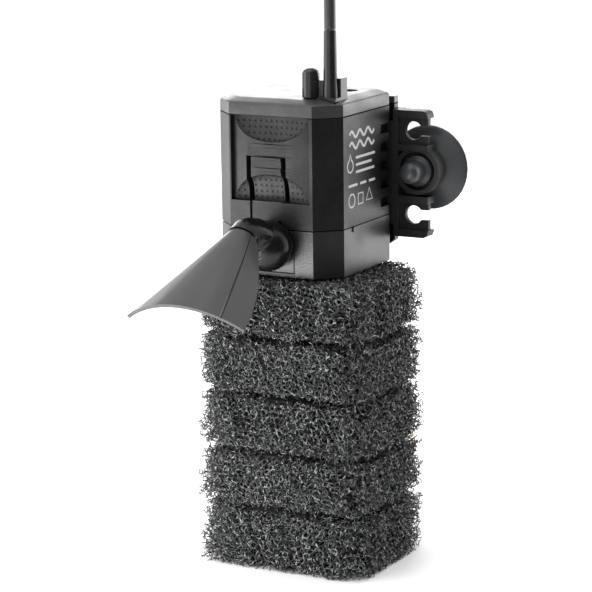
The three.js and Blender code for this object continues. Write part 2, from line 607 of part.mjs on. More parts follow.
// The round eye between the ribs: a ring with a thin web, and a hole in the web for the cup's stem.
function holderEye() {
  const { front: near, back: far } = holder;
  const ring = turnedAlongY(disc(eye.outer, near + eyeWeb.inset, far), eye.x, eye.z, 40);
  const wells = [[20, eyeWeb.wells[0]], [eyeWeb.wells[1], 30]]
    .map(([y0, y1]) => turnedAlongY(disc(eye.inner, y0, y1), eye.x, eye.z, 40));
  return { ring, holes: [...wells, turnedAlongY(disc(eyeWeb.hole, 20, 30), eye.x, eye.z, 28)] };
}

function buildHolder() {
  const { wall, tip, front: near, top, bottom } = holder;
  const spine = block(wall, [near, holderSpine.back], [bottom, top]);
  const rearLip = block([holderSpine.rearLip, wall[1]], [rail.back + gap, holderSpine.back], [bottom, top]);
  const frontLip = block([holderSpine.frontLip, wall[0] + 0.1], [near, rail.front - gap],
    [bottom + holderSpine.lipShort, top - holderSpine.lipShort]);
  const webs = [[0, 1], [2, 3]].map(([low, high]) => block([wall[0], tip - holderSpine.webShort], holderSpine.web,
    [holderRibs[low][1] - holderSpine.webInto, holderRibs[high][0] + holderSpine.webInto]));
  const keyholes = keyhole.levels.flatMap((z) => [
    turnedAlongY(disc(keyhole.radius, 20, 30), keyhole.x, z, 28),
    block([keyhole.x, tip + 1], [20, 30], [z - keyhole.throat, z + keyhole.throat])]);
  const { ring, holes } = holderEye();
  const whole = union(spine, rearLip, frontLip, ...holderRibs.map(holderRib), ...webs, ring);
  add('suction_cup_holder', minus(whole, ...keyholes, ...holes), 'casing');
}

function buildSuctionCup() {
  add('suction_cup', turnedAlongY(cupOutline, eye.x, eye.z, 36), 'rubber');
}

// ---- cord, coil and plug ------------------------------------------------------------------------

const coilInner = coil.radius - (coil.rows * coil.pitch) / 2;
const coilOuter = coil.radius + (coil.rows * coil.pitch) / 2;
const coilTop = coil.floor + coil.layers * coil.pitch;
const outerTurn = coilOuter - coil.pitch / 2;
const lowTurn = coil.floor + cord.radius;
const topTurn = lowTurn + (coil.layers - 1) * coil.pitch;

// A place on the arch from the gland to the line where the lead hangs down behind the object.
const arch = new THREE.Vector3(cordDrop.x - cordExit.x, cordDrop.y - cordExit.y, 0);
const onArch = (share, z) => cordExit.clone().setZ(z).addScaledVector(arch, share);

function onRing(degrees, radius, z) {
  const angle = THREE.MathUtils.degToRad(degrees);
  return new THREE.Vector3(coil.x + radius * Math.cos(angle), coil.y + radius * Math.sin(angle), z);
}

// The straight line on which the cord leaves the coil, and the plug's own directions.
const leave = THREE.MathUtils.degToRad(coil.leave);
const plugAlong = new THREE.Vector3(Math.sin(leave), -Math.cos(leave), 0);
const plugSide = new THREE.Vector3(-Math.cos(leave), -Math.sin(leave), 0);
const onPlug = (along, side, z) => onRing(coil.leave, outerTurn, z).addScaledVector(plugAlong, along)
  .addScaledVector(plugSide, side);

function cordTube(points, steps) {
  const section = new THREE.Shape(arc(0, 0, cord.radius, 0, 360, cord.sides).slice(0, -1)
    .map(([x, y]) => new THREE.Vector2(x, y)));
  const path = new THREE.CatmullRomCurve3(points);
  return solid(new THREE.ExtrudeGeometry(section, { steps, extrudePath: path, bevelEnabled: false }));
}

function buildCord() {
  const clearOfCoil = tube(coilInner - gap, coilOuter + gap, coil.floor - gap, coilTop + gap);
  const keepOut = turned(clearOfCoil, coil.x, coil.y, 48);
  const lead = [...leadArch.map((point) => onArch(...point)), ...leadIn.map((point) => onRing(...point)),
    onRing(coil.enter, outerTurn, topTurn)];
  add('power_cord_lead', cordTube(lead, 60).subtract(keepOut), 'softBlack');
  add('power_cord_coil', turned(tube(coilInner, coilOuter, coil.floor, coilTop), coil.x, coil.y, 40), 'softBlack');
  const tail = [[0, lowTurn], ...tailRise, [plug.start - gap, plug.axis]].map(([along, z]) => onPlug(along, 0, z));
  add('power_cord_tail', cordTube(tail, 8).subtract(keepOut), 'softBlack');
}

// A block across the coil's winding at the tie: from one radius to another, and from one height to another.
function tieBlock(radii, z, width) {
  const box = new THREE.BoxGeometry(radii[1] - radii[0], width, z[1] - z[0]);
  box.translate((radii[0] + radii[1]) / 2, 0, (z[0] + z[1]) / 2);
  return solid(box.rotateZ(THREE.MathUtils.degToRad(coil.tie)).translate(coil.x, coil.y, 0));
}

function buildCoilTie() {
  const inner = coilInner - tie.inside;
  const outer = coilOuter + tie.outside;
  const top = coilTop + tie.above;
  const band = tieBlock([inner - tie.thickness, outer + tie.thickness], [tie.under[0], top + tie.thickness],
    tie.width);
  add('coil_tie', band.subtract(tieBlock([inner, outer], [tie.under[1], top], tie.width + 2)), 'softBlack');
}

// One section of the plug: a rectangle with its corners cut, across the plug's axis.
function plugSection([along, halfWidth, halfHeight]) {
  const cut = Math.min(halfWidth, halfHeight) * plug.cut;
  const corners = [[-halfWidth + cut, -halfHeight], [halfWidth - cut, -halfHeight], [halfWidth, -halfHeight + cut],
    [halfWidth, halfHeight - cut], [halfWidth - cut, halfHeight], [-halfWidth + cut, halfHeight],
    [-halfWidth, halfHeight - cut], [-halfWidth, -halfHeight + cut]];
  return corners.map(([x, z]) => onPlug(plug.start + along, x, plug.axis + z));
}

// A round rod along the plug, beside its axis.
function plugRod(offset, radius, from, to) {
  const pin = new THREE.CylinderGeometry(radius, radius, to - from, 16);
  const basis = new THREE.Matrix4().makeBasis(plugSide, plugAlong, new THREE.Vector3(0, 0, 1));
  const middle = onPlug((from + to) / 2, offset, plug.axis);
  return solid(pin.applyMatrix4(basis).translate(middle.x, middle.y, middle.z));
}

// A flat two-pin plug: a round neck that widens into a body with cut corners, and two round pins.
function buildPlug() {
  const face = plug.start + plug.length;
  const seatEnd = face - plug.pinSeat;
  const offsets = [-plug.pinSpacing / 2, plug.pinSpacing / 2];
  const seats = offsets.map((offset) => plugRod(offset, plug.pinRadius + 0.1, seatEnd, face + 1));
  add('plug_body', minus(loft(plugSections.map(plugSection)), ...seats), 'softBlack');
  const pins = offsets.map((offset) => plugRod(offset, plug.pinRadius, seatEnd + 0.2, face + plug.pinLength));
  add('plug_pin_left', pins[0], 'brass');
  add('plug_pin_right', pins[1], 'brass');
}

buildHeadShell();
buildLatch();
buildCover();
buildTopFittings();
buildStator();
buildRotorWell();
buildRotor();
buildLowerCasing();
buildIntakeTube();
buildFoam();
buildOutletInsert();
buildOutletElbow();
buildFan();
buildHolder();
buildSuctionCup();
buildCord();
buildCoilTie();
buildPlug();

export default filter;
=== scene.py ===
"""The looks of a small internal aquarium filter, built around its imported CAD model.

A satin black motor head and pump casing, a glossy fan nozzle on a ball elbow, a suction-cup holder, a mains
lead, and a grooved block of open-cell foam, which is built strand by strand. Metres, in the CAD's own frame.
"""

import math

import bpy
import numpy as np
from mathutils import Euler, Matrix, Vector


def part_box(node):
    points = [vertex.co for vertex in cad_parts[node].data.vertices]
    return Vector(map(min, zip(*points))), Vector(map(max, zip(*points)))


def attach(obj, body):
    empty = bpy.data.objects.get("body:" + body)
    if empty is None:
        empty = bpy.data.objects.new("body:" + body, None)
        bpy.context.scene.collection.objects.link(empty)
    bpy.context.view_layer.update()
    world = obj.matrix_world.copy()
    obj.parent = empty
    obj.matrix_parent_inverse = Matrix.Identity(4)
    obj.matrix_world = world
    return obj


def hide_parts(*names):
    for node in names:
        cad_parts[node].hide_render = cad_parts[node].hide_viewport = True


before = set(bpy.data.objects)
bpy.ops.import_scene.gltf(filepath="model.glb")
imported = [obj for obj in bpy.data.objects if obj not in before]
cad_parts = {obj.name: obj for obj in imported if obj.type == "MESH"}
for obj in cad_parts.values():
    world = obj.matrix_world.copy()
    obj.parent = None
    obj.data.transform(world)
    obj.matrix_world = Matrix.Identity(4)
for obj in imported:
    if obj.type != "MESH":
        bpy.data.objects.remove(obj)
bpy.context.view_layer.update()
MM = 0.001
UP = Vector((0, 0, 1))


# ---- camera, light and floor --------------------------------------------------------------------

LOOK_AT = Vector((-0.00264, -0.0005, 0.08887))
AZIMUTH, ELEVATION, ROLL = (math.radians(a) for a in (28.203, 11.736, -0.684))
DISTANCE = 0.84927
LENS, SENSOR = 152.03, 36
WORLD_LIGHT = 0.95
SUN = (-40, 68, 0.9, 60)  # azimuth, elevation, strength and spread
# Each panel's name, azimuth, distance, width, lower and upper edge, and radiance.
PANELS = [
    ("front_left_panel", -56, 0.5, 0.3, 0.0, 0.5, 2.4),
    ("front_low_strip", -32, 0.2, 0.22, 0.0, 0.07, 12),
    ("left_rear_panel", -112, 0.7, 0.4, 0.0, 0.5, 0.8),
    ("right_rear_panel", 148, 0.65, 0.5, 0.0, 0.5, 2.7),
    ("back_panel", 208, 0.9, 0.6, 0.1, 0.8, 3.0),
]
CARD = (62, 0.24, 0.4, 0.0, 0.36)  # azimuth, distance, width, lower and upper edge
FLOOR_SIZE, FLOOR_WHITE = 8, 0.93


def towards(azimuth, elevation):
    """The direction out from the filter, azimuth in degrees from its front towards its right."""
    a, e = math.radians(azimuth), math.radians(elevation)
    return Vector((math.sin(a) * math.cos(e), -math.cos(a) * math.cos(e), math.sin(e)))


def make_camera():
    data = bpy.data.cameras.new("camera")
    data.lens = LENS
    data.sensor_width = SENSOR
    data.clip_start, data.clip_end = 0.05, 20
    camera = bpy.data.objects.new("camera", data)
    bpy.context.scene.collection.objects.link(camera)
    back = towards(math.degrees(AZIMUTH), math.degrees(ELEVATION))
    right = UP.cross(back).normalized()
    turn = Matrix.Rotation(ROLL, 3, back)
    right, up = turn @ right, turn @ back.cross(right)
    camera.matrix_world = Matrix((right, up, back)).transposed().to_4x4()
    camera.location = LOOK_AT + back * DISTANCE
    bpy.context.scene.camera = camera


def make_panel(name, azimuth, distance, width, low, high, radiance):
    """A glowing panel that stands on the floor and faces the filter."""
    data = bpy.data.lights.new(name, "AREA")
    data.shape = "RECTANGLE"
    data.size, data.size_y = width, high - low
    data.energy = radiance * math.pi * width * (high - low)
    light = bpy.data.objects.new(name, data)
    bpy.context.scene.collection.objects.link(light)
    back = towards(azimuth, 0)
    light.location = back * distance + UP * (low + high) / 2
    light.rotation_mode = "QUATERNION"
    light.rotation_quaternion = back.to_track_quat("Z", "Y")
    light.visible_camera = False


def make_sun(azimuth, elevation, strength, spread):
    """A broad, far light: it whitens the floor evenly and leaves a soft shadow."""
    data = bpy.data.lights.new("overhead", "SUN")
    data.energy = strength
    data.angle = math.radians(spread)
    light = bpy.data.objects.new("overhead", data)
    bpy.context.scene.collection.objects.link(light)
    light.rotation_mode = "QUATERNION"
    light.rotation_quaternion = towards(azimuth, elevation).to_track_quat("Z", "Y")


def make_card(name, azimuth, distance, width, low, high, material):
    """A dark studio card, seen only in the filter's reflections."""
    bpy.ops.mesh.primitive_plane_add(size=1)
    card = bpy.context.object
    card.name = name
    card.scale = (width, high - low, 1)
    back = towards(azimuth, 0)
    card.location = back * distance + Vector((0, 0, (low + high) / 2))
    card.rotation_mode = "QUATERNION"
    card.rotation_quaternion = back.to_track_quat("Z", "Y")
    card.data.materials.append(material)
    card.visible_camera = card.visible_diffuse = card.visible_shadow = False


def make_world():
    world = bpy.data.worlds.new("studio")
    bpy.context.scene.world = world
    world.use_nodes = True
    tree = world.node_tree
    tree.nodes.clear()
    out = tree.nodes.new("ShaderNodeOutputWorld")
    seen, lit = (tree.nodes.new("ShaderNodeBackground") for _ in range(2))
    seen.inputs["Color"].default_value = (1, 1, 1, 1)
    seen.inputs["Strength"].default_value = 1
    lit.inputs["Color"].default_value = (1, 1, 1, 1)
    lit.inputs["Strength"].default_value = WORLD_LIGHT
    path = tree.nodes.new("ShaderNodeLightPath")
    mix = tree.nodes.new("ShaderNodeMixShader")
    tree.links.new(path.outputs["Is Camera Ray"], mix.inputs["Fac"])
    tree.links.new(lit.outputs[0], mix.inputs[1])
    tree.links.new(seen.outputs[0], mix.inputs[2])
    tree.links.new(mix.outputs[0], out.inputs["Surface"])


def make_studio():
    bpy.context.scene.view_settings.view_transform = "Standard"
    make_world()
    make_sun(*SUN)
    for panel in PANELS:
        make_panel(*panel)
    black = plain_material("card_black", (0.01, 0.01, 0.01), 0.9)
    make_card("right_card", *CARD, black)
    bpy.ops.mesh.primitive_plane_add(size=FLOOR_SIZE, location=(0, 0, 0))
    floor = bpy.context.object
    floor.name = "floor"
    floor.data.materials.append(plain_material("floor_white", (FLOOR_WHITE,) * 3, 0.7))


# ---- materials ----------------------------------------------------------------------------------

GRAIN_DEPTH = 0.12 * MM
RUBBED = (0.05, 0.05, 0.053)


def plain_material(name, colour, roughness):
    material = bpy.data.materials.new(name)
    material.use_nodes = True
    shader = material.node_tree.nodes["Principled BSDF"]
    shader.inputs["Base Color"].default_value = (*colour, 1)
    shader.inputs["Roughness"].default_value = roughness
    return material


class Surface:
    """A Principled material with shorthand for the noise, ramps and bumps that give it detail."""

    def __init__(self, name, colour, roughness, **values):
        self.material = plain_material(name, colour, roughness)
        self.tree = self.material.node_tree
        self.shader = self.tree.nodes["Principled BSDF"]
        for socket, value in values.items():
            self.shader.inputs[socket.replace("_", " ")].default_value = value
        place = self.tree.nodes.new("ShaderNodeTexCoord")
        self.place = place.outputs["Object"]
        self.colour = (*colour, 1)
        self.normal = None

    def node(self, kind, **values):
        node = self.tree.nodes.new(kind)
        for socket, value in values.items():
            if isinstance(value, bpy.types.NodeSocket):
                self.tree.links.new(value, node.inputs[socket])
            else:
                node.inputs[socket].default_value = value
        return node

    def noise(self, scale, detail=3.0, roughness=0.55, stretch=None):
        place = self.place
        if stretch:
            place = self.node("ShaderNodeMapping", Vector=self.place, Scale=stretch).outputs[0]
        made = self.node("ShaderNodeTexNoise", Vector=place, Scale=scale, Detail=detail, Roughness=roughness)
        return made.outputs["Fac"]

    def calc(self, operation, *values):
        node = self.tree.nodes.new("ShaderNodeMath")
        node.operation = operation
        for socket, value in zip(node.inputs, values):
            if isinstance(value, bpy.types.NodeSocket):
                self.tree.links.new(value, socket)
            else:
                socket.default_value = value
        return node.outputs[0]

    def axes(self, offset):
        """The place's three coordinates, moved by an offset."""
        moved = self.node("ShaderNodeMapping", Vector=self.place, Location=tuple(offset)).outputs[0]
        return self.node("ShaderNodeSeparateXYZ", Vector=moved).outputs

    def ramp(self, value, low, high, to_low, to_high):
        node = self.tree.nodes.new("ShaderNodeMapRange")
        self.tree.links.new(value, node.inputs["Value"])
        sockets = ("From Min", "From Max", "To Min", "To Max")
        for socket, number in zip(sockets, (low, high, to_low, to_high)):
            node.inputs[socket].default_value = number
        return node.outputs["Result"]

    def tint(self, value, colour):
        """Mixes the base colour towards another one by value."""
        node = self.tree.nodes.new("ShaderNodeMix")
        node.data_type = "RGBA"
        self.tree.links.new(value, node.inputs["Factor"])
        source = self.shader.inputs["Base Color"]
        if source.is_linked:
            self.tree.links.new(source.links[0].from_socket, node.inputs["A"])
        else:
            node.inputs["A"].default_value = self.colour
        node.inputs["B"].default_value = (*colour, 1)
        self.tree.links.new(node.outputs["Result"], source)

    def rough(self, value):
        self.tree.links.new(value, self.shader.inputs["Roughness"])

    def shine_and_seam_shade(self, z, height, level):
        """Uneven shine from handling, and no shine in the parting line at one height: painted shade that
        keeps the line dark.
        """
        off = self.calc("ABSOLUTE", self.calc("SUBTRACT", z, height))
        uneven = self.ramp(self.noise(70, 5.0, 0.65), 0.35, 0.65, level * 0.75, level * 1.25)
        shine = self.calc("MULTIPLY", self.ramp(off, SEAM_SHADE_HALF * 0.6, SEAM_SHADE_HALF, 0.0, 1.0), uneven)
        self.tree.links.new(shine, self.shader.inputs["Specular IOR Level"])

    def bump(self, height, strength, distance):
        node = self.node("ShaderNodeBump", Height=height, Strength=strength, Distance=distance)
        if self.normal:
            self.tree.links.new(self.normal, node.inputs["Normal"])
        self.normal = node.outputs["Normal"]
        self.tree.links.new(self.normal, self.shader.inputs["Normal"])


def moulded(name, colour, roughness, grain_scale, grain, rubbed, specular):
    """Moulded plastic: a spark-eroded grain, a slow drift of gloss, and faint rubbed patches."""
    s = Surface(name, colour, roughness, Specular_IOR_Level=specular)
    s.bump(s.noise(grain_scale, 2.0), grain, GRAIN_DEPTH)
    drift = s.noise(90, 4.0)
    s.rough(s.ramp(drift, 0.3, 0.7, roughness - 0.06, roughness + 0.08))
    s.tint(s.ramp(s.noise(260, 6.0, 0.7), 0.6, 0.8, 0.0, 0.35), rubbed)
    return s.material


CASING, CASING_ROUGH = (0.005, 0.005, 0.0054), 0.37
# The half-width of the painted shade along the parting line between cover and head, and the line's height.
SEAM_SHADE_HALF, COVER_SEAM = 0.32 * MM, 153 * MM
GRIP_MIDDLE, GRIP_HALF, GRIP_BOW, GRIP_WAIST, GRIP_DEPTH = (v * MM for v in (-0.3, 14.6, 1.5, 0.45, 3.7))
GRIP_LOW, GRIP_HIGH, FRONT = 124.6 * MM, 153 * MM, -22 * MM
DIMPLE_PITCH, DIMPLE_RADIUS = 1.95 * MM, 0.42 * MM
# How far inside the panel's bow, waist, floor and ends the scoops' stipple stops.
BOW_SLACK, WAIST_SLACK, FLOOR_SLACK, END_SLACK = (v * MM for v in (0.1, 0.12, 0.1, 0.05))


def grip_material(name, offset):
    """The casing's plastic, with a stipple and rows of dimples in the two scoops of the finger grip. The
    dimples are painted near-black as painted shade in their pits, and painted shade keeps the parting line
    dark.
    """
    s = Surface(name, CASING, CASING_ROUGH)
    x, y, z = s.axes(offset)
    s.shine_and_seam_shade(z, COVER_SEAM, 0.38)
    share = s.calc("DIVIDE", s.calc("SUBTRACT", x, GRIP_MIDDLE), GRIP_HALF)
    bow = s.calc("MULTIPLY", s.calc("MULTIPLY", share, share), GRIP_BOW)
    sunk = s.calc("SUBTRACT", y, FRONT)
    scoop = s.calc("GREATER_THAN", s.calc("SUBTRACT", sunk, bow), BOW_SLACK)
    tests = [
        s.calc("LESS_THAN", s.calc("ABSOLUTE", share), 1.0),
        s.calc("GREATER_THAN", sunk, GRIP_WAIST + WAIST_SLACK),
        s.calc("LESS_THAN", sunk, GRIP_DEPTH + FLOOR_SLACK),
        s.calc("GREATER_THAN", z, GRIP_LOW + END_SLACK),
        s.calc("LESS_THAN", z, GRIP_HIGH - END_SLACK),
    ]
    for test in tests:
        scoop = s.calc("MULTIPLY", scoop, test)
    across, up = (s.calc("SUBTRACT", s.calc("FRACT", s.calc("DIVIDE", v, DIMPLE_PITCH)), 0.5) for v in (x, z))
    away = s.calc("SQRT", s.calc("ADD", s.calc("MULTIPLY", across, across), s.calc("MULTIPLY", up, up)))
    rim = DIMPLE_RADIUS / DIMPLE_PITCH
    dimple_and_pit_shade = s.calc("MULTIPLY", s.ramp(away, 0.5 * rim, rim, 1, 0), scoop)
    s.tint(scoop, (0.012, 0.012, 0.0125))
    s.tint(s.ramp(s.noise(1500, 3.0, 0.8), 0.55, 0.75, 0.0, 0.5), (0.03, 0.03, 0.031))
    # Painted shade: the dimples are only a bump, and their pits are painted near-black.
    s.tint(dimple_and_pit_shade, (0.001, 0.001, 0.001))
    s.rough(s.ramp(scoop, 0, 1, CASING_ROUGH, 0.5))
    s.bump(s.noise(2200, 2.0), 0.5, GRAIN_DEPTH)
    s.bump(s.calc("MULTIPLY", s.noise(900, 4.0, 0.8), scoop), 0.6, 0.00025)
    s.bump(s.calc("MULTIPLY", dimple_and_pit_shade, -1.0), 1.0, 0.0004)
    return s.material


def cover_material(offset):
    """The cover's plastic, paler and smoother than the casing's, with painted shade in the parting line at
    its foot.
    """
    s = Surface("cover_plastic", (0.026, 0.026, 0.027), 0.34)
    s.shine_and_seam_shade(s.axes(offset)[2], COVER_SEAM, 0.66)
    s.bump(s.noise(2200, 2.0), 0.5, GRAIN_DEPTH)
    s.rough(s.ramp(s.noise(90, 4.0), 0.3, 0.7, 0.28, 0.42))
    s.tint(s.ramp(s.noise(260, 6.0, 0.7), 0.6, 0.8, 0.0, 0.35), RUBBED)
    return s.material


# Each moulded stuff's name, colour, roughness, grain's scale and strength, rubbed colour and specular level.
MOULDED = {
    "casing": ("casing_plastic", CASING, 0.37, 2200, 0.5, RUBBED, 0.5),
    "pump": ("pump_plastic", (0.008, 0.008, 0.0085), 0.37, 2200, 0.5, RUBBED, 0.62),
    "gloss": ("gloss_plastic", (0.05, 0.05, 0.051), 0.16, 700, 0.05, RUBBED, 0.5),
    "peg": ("peg_black", (0.012, 0.012, 0.0125), 0.14, 500, 0.05, RUBBED, 0.5),
    "elbow": ("elbow_black", (0.004, 0.004, 0.0043), 0.24, 900, 0.12, RUBBED, 0.4),
    "soft": ("soft_black", (0.008, 0.008, 0.0085), 0.3, 1200, 0.2, RUBBED, 0.5),
    "rubber": ("cup_rubber", (0.034, 0.036, 0.039), 0.34, 900, 0.2, (0.07, 0.07, 0.075), 0.5),
    "holder": ("holder_plastic", (0.014, 0.014, 0.0145), 0.46, 1500, 0.35, RUBBED, 0.32),
    "cord": ("cord_jacket", (0.024, 0.024, 0.025), 0.4, 900, 0.3, RUBBED, 0.5),
    "print": ("pale_print", (0.4, 0.4, 0.4), 0.5, 1500, 0.35, (0.22, 0.22, 0.22), 0.5),
    "nylon": ("nylon", (0.7, 0.68, 0.62), 0.42, 1500, 0.35, (0.6, 0.57, 0.5), 0.5),
    "ceramic": ("ceramic", (0.78, 0.77, 0.73), 0.22, 1500, 0.35, (0.7, 0.69, 0.66), 0.5),
    "ferrite": ("ferrite", (0.05, 0.05, 0.053), 0.55, 600, 0.35, RUBBED, 0.5),
    "resin": ("resin", (0.02, 0.022, 0.03), 0.2, 200, 0.35, RUBBED, 0.5),
}
# Each metal's name, colour and roughness, and how its drawn lines are stretched along the three axes.
METALS = {
    "steel": ("lamination_steel", (0.38, 0.39, 0.4), 0.38, (60, 60, 2400)),
    "brass": ("plated_brass", (0.72, 0.68, 0.6), 0.2, (300, 300, 40)),
    "copper": ("copper_wire", (0.72, 0.32, 0.16), 0.3, (40, 2600, 2600)),
}


def make_materials():
    kinds = {kind: moulded(*values) for kind, values in MOULDED.items()}
    kinds |= {kind: metal(*values) for kind, values in METALS.items()}
    kinds["foam"] = foam_material_with_painted_glints()
    kinds["core"] = shade_core_material()
    return kinds


def metal(name, colour, roughness, stretch):
    s = Surface(name, colour, roughness, Metallic=1.0)
    lines = s.noise(1.0, 2.0, stretch=stretch)
    s.bump(lines, 0.25, 0.00005)
    s.rough(s.ramp(lines, 0.3, 0.7, roughness - 0.08, roughness + 0.12))
    s.tint(s.ramp(s.noise(300, 5.0), 0.5, 0.8, 0.0, 0.6), tuple(c * 0.6 for c in colour))
    return s.material


def foam_material_with_painted_glints():
    s = Surface("filter_foam", (0.03, 0.031, 0.032), 0.2)
    # Pale bits scattered along the strands by noise: painted glints, standing in for highlights.
    s.tint(s.ramp(s.noise(700, 2.0), 0.52, 0.66, 0.0, 1.0), (0.27, 0.275, 0.284))
    s.rough(s.ramp(s.noise(900, 2.0), 0.3, 0.7, 0.2, 0.42))
    return s.material


def shade_core_material():
    """The foam's deep inside, where hardly any light comes back out of the pores."""
    s = Surface("foam_inside_shade", (0.003, 0.003, 0.003), 0.9)
    s.tint(s.ramp(s.noise(700, 3.0), 0.5, 0.75, 0.0, 1.0), (0.012, 0.012, 0.013))
    s.bump(s.noise(500, 3.0), 0.6, 0.0004)
    return s.material


# ---- shared mesh tools --------------------------------------------------------------------------


def new_piece(name, points, faces, material, body):
    mesh = bpy.data.meshes.new(name)
    mesh.from_pydata([tuple(p) for p in points], [], faces)
    mesh.validate()
    mesh.materials.append(material)
    piece = bpy.data.objects.new(name, mesh)
    bpy.context.scene.collection.objects.link(piece)
    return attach(piece, body)


WELD_WITHIN, FLAT_WITHIN = 0.002 * MM, 0.6  # points this close, and faces within these degrees, become one
EDGE_ANGLE, EDGE_SEGMENTS = 28, 2


def soften(node, width, angle=EDGE_ANGLE):
    """Gives a CAD node's sharp moulded edges a small round, with flat faces kept flat."""
    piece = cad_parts[node]
    mesh = piece.data
    mesh.polygons.foreach_set("use_smooth", [True] * len(mesh.polygons))
    if mesh.has_custom_normals:
        with bpy.context.temp_override(object=piece, active_object=piece):
            bpy.ops.mesh.customdata_custom_splitnormals_clear()
    weld = piece.modifiers.new("weld", "WELD")
    weld.merge_threshold = WELD_WITHIN
    flat = piece.modifiers.new("flat", "DECIMATE")
    flat.decimate_type = "DISSOLVE"
    flat.angle_limit = math.radians(FLAT_WITHIN)
    bevel = piece.modifiers.new("bevel", "BEVEL")
    bevel.width = width
    bevel.segments = EDGE_SEGMENTS
    bevel.limit_method = "ANGLE"
    bevel.angle_limit = math.radians(angle)
    bevel.use_clamp_overlap = True
    normals = piece.modifiers.new("normals", "WEIGHTED_NORMAL")
    normals.keep_sharp = True
    return piece


def give(piece, material):
    piece.data.materials.clear()
    piece.data.materials.append(material)


# ---- mains lead ---------------------------------------------------------------------------------

CORD_RADIUS = 1.9 * MM
CORD_EXIT = Vector((17.4, -12.4, 181.3)) * MM
CORD_DROP = Vector((-5.6, 32, 181.3)) * MM
COIL_MIDDLE = Vector((-21.5, 54.5, 0)) * MM
COIL_PITCH = 3.95 * MM
OUTER_TURN = 24.475 * MM
TOP_TURN = 14.95 * MM
COIL_ENTER, COIL_LEAVE = -107, 165
COIL_TURNS = 8 + (COIL_ENTER - COIL_LEAVE) / 360
TURNS_A_LAYER, LAYERS, JOG = 2, 4, 0.25  # the last quarter of a turn changes row or layer
STEPS_A_TURN, CORD_STEPS = 36, 8


def on_arch(share, z):
    """A place above the line from the gland to the drop behind the filter; z in millimetres."""
    place = CORD_EXIT.lerp(CORD_DROP, share)
    place.z = z * MM
    return place


def on_ring(turn, radius, z):
    """A place around the coil's middle, turn in degrees."""
    a = math.radians(turn)
    return COIL_MIDDLE + Vector((math.cos(a) * radius, math.sin(a) * radius, z))


def on_plug(along, side, z):
    """A place beyond the coil's end, where the plug lies; millimetres."""
    a = math.radians(COIL_LEAVE)
    start = on_ring(COIL_LEAVE, OUTER_TURN, 0)
    forward, across = Vector((math.sin(a), -math.cos(a), 0)), Vector((-math.cos(a), -math.sin(a), 0))
    return start + (forward * along + across * side + UP * z) * MM


def through(points, steps):
    """A smooth curve through the points, steps to each stretch; uneven spacing makes no loops."""
    ends = [points[0] * 2 - points[1], *points, points[-1] * 2 - points[-2]]
    made = []
    for a, b, c, d in zip(ends, ends[1:], ends[2:], ends[3:]):
        before, across, after = (math.sqrt((q - p).length) for p, q in ((a, b), (b, c), (c, d)))
        out = ((b - a) / before - (c - a) / (before + across) + (c - b) / across) * across
        into = ((c - b) / across - (d - b) / (across + after) + (d - c) / after) * across
        for i in range(steps):
            t = i / steps
            made.append(b * (2 * t**3 - 3 * t**2 + 1) + out * (t**3 - 2 * t**2 + t)
                        + c * (3 * t**2 - 2 * t**3) + into * (t**3 - t**2))
    return [*made, points[-1]]


def ease(value):
    t = min(max(value, 0), 1)
    return t * t * (3 - 2 * t)


def coil_turns():
    """The coil, wound clockwise from its top outer turn: in and out by rows, down from layer to layer."""
    made = []
    count = round(COIL_TURNS * STEPS_A_TURN)
    for i in range(count + 1):
        turns = COIL_TURNS * i / count
        layer = min(int(turns // TURNS_A_LAYER), LAYERS - 1)
        within = turns - layer * TURNS_A_LAYER
        jog = ease((within - (1 - JOG)) / JOG)
        row = jog if layer % 2 == 0 else 1 - jog
        climb = ease((within - (TURNS_A_LAYER - JOG)) / JOG) if layer + 1 < LAYERS else 0
        made.append(on_ring(COIL_ENTER - 360 * turns, OUTER_TURN - row * COIL_PITCH,
                            TOP_TURN - (layer + climb) * COIL_PITCH))
    return made


# The lead's arch by its share of the way to the drop and its height, its way into the coil by turn, radius
# and height, and its end by its places beyond the coil; in millimetres and degrees.
LEAD = [(0, 181.3), (0, 186), (0.02, 194), (0.12, 204), (0.29, 211), (0.5, 213.5), (0.71, 211), (0.88, 204),
        (0.98, 194), (1, 182), (1, 150), (1, 115), (1, 80), (1, 50)]
LEAD_IN = [(-55.5, 27.4, 34), (-62, 27, 25), (-74, 26.1, 18.9), (-90, 25, 15.7)]
TAIL = [(5, 0, 3.7), (11, 0, 6.4), (16, 0, 7.2)]


def make_cord(kinds):
    turns = coil_turns()
    lead = [on_arch(*p) for p in LEAD] + [on_ring(a, r * MM, z * MM) for a, r, z in LEAD_IN]
    tail = [turns[-1], *(on_plug(*p) for p in TAIL)]
    route = through([*lead, turns[0]], CORD_STEPS)[:-1] + turns[:-1] + through(tail, CORD_STEPS)
    curve = bpy.data.curves.new("mains_lead", "CURVE")
    curve.dimensions = "3D"
    curve.bevel_depth = CORD_RADIUS
    curve.bevel_resolution = 5
    curve.use_fill_caps = True
    spline = curve.splines.new("POLY")
    spline.points.add(len(route) - 1)
    spline.points.foreach_set("co", [v for p in route for v in (*p, 1)])
    spline.use_smooth = True
    curve.materials.append(kinds["cord"])
    lead_piece = bpy.data.objects.new("mains_lead", curve)
    bpy.context.scene.collection.objects.link(lead_piece)
    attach(lead_piece, "head")
    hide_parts("power_cord_lead", "power_cord_coil", "power_cord_tail")


# ---- foam block ---------------------------------------------------------------------------------

